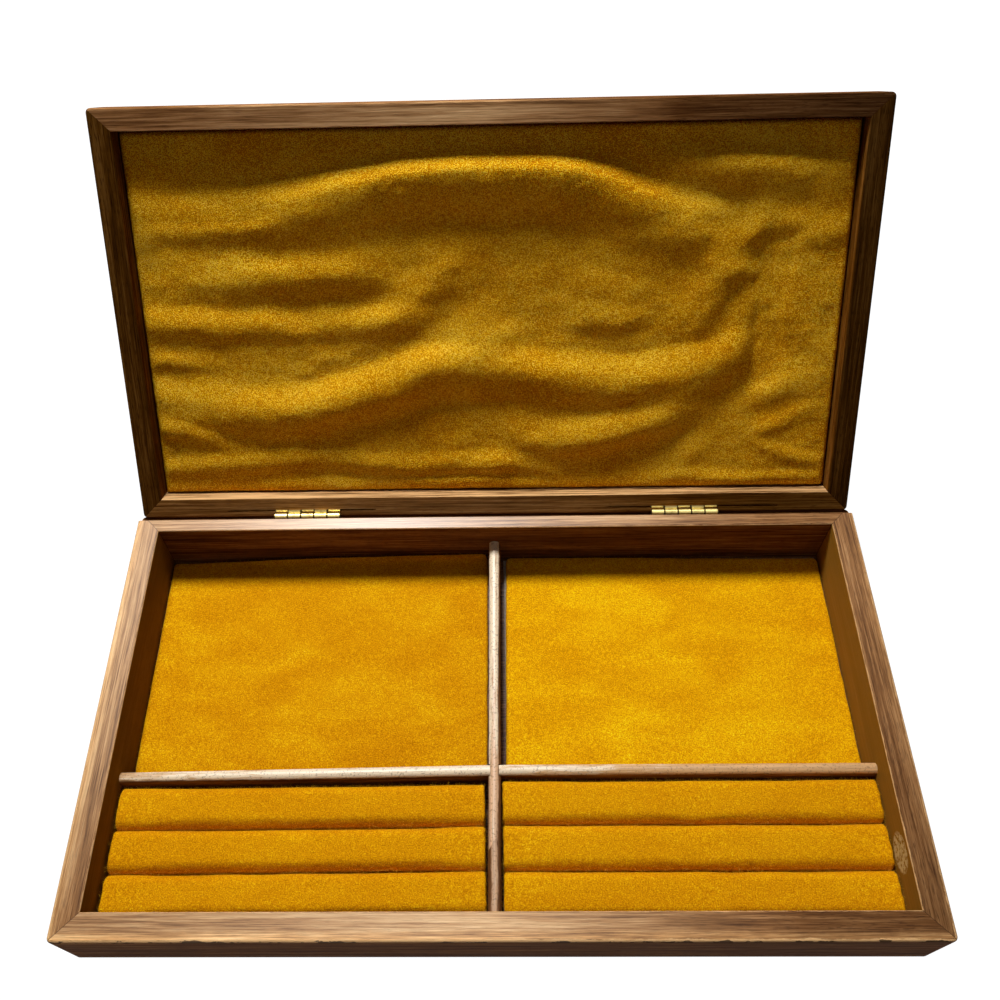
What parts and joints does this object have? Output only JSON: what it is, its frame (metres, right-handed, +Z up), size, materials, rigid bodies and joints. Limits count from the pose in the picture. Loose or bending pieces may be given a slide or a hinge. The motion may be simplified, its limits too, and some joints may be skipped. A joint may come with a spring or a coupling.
{
  "type": "cufflink display box",
  "caption": "Shallow hinged wooden case with mitred rails, plush-lined bays, grooved plush rolls for cufflinks and a padded lid that leans open on its own back edge.",
  "frame": {"origin": "centre of the base's underside, on the surface it stands on", "axes": "+X left to right, along the hinges; +Y front to back; +Z up, out of the bays"},
  "size_m": [0.322, 0.2926, 0.1746],
  "materials": {
    "base_rails": "oiled walnut, worn pale on the arrises",
    "lid_rails": "oiled walnut, darker",
    "panels": "walnut veneer, satin",
    "dividers": "walnut, satin, bullnosed",
    "card_boards": "grey-brown card",
    "velvet": "golden mustard plush with a short nap",
    "foam_cores": "soft open-cell foam",
    "wadding": "loose cotton wadding",
    "brass": "bright brass, lightly tarnished"
  },
  "bodies": {
    "base": {"base_back_rail": "base_rails", "base_bottom_panel": "panels", "base_front_rail": "base_rails", "base_left_rail": "base_rails", "base_right_rail": "base_rails", "cross_divider": "dividers", "front_left_roll_card": "card_boards", "front_left_roll_core_1": "foam_cores", "front_left_roll_core_2": "foam_cores", "front_left_roll_core_3": "foam_cores", "front_left_roll_velvet_1": "velvet", "front_left_roll_velvet_2": "velvet", "front_left_roll_velvet_3": "velvet", "front_right_roll_card": "card_boards", "front_right_roll_core_1": "foam_cores", "front_right_roll_core_2": "foam_cores", "front_right_roll_core_3": "foam_cores", "front_right_roll_velvet_1": "velvet", "front_right_roll_velvet_2": "velvet", "front_right_roll_velvet_3": "velvet", "hinge_left_base_leaf": "brass", "hinge_left_pin": "brass", "hinge_right_base_leaf": "brass", "hinge_right_pin": "brass", "long_divider": "dividers", "rear_left_pad_board": "card_boards", "rear_left_pad_velvet": "velvet", "rear_right_pad_board": "card_boards", "rear_right_pad_velvet": "velvet"},
    "lid": {"hinge_left_lid_leaf": "brass", "hinge_right_lid_leaf": "brass", "lid_back_rail": "lid_rails", "lid_front_rail": "lid_rails", "lid_left_rail": "lid_rails", "lid_lining_board": "card_boards", "lid_lining_velvet": "velvet", "lid_panel": "panels", "lid_right_rail": "lid_rails", "lid_wadding": "wadding"}
  },
  "joints": [
    {"name": "lid_hinge", "type": "hinge", "parent": "base", "child": "lid", "pos_m": [0, 0.0879, 0.03035], "axis": [1, 0, 0], "range_deg": [0, 124.6]}
  ]
}
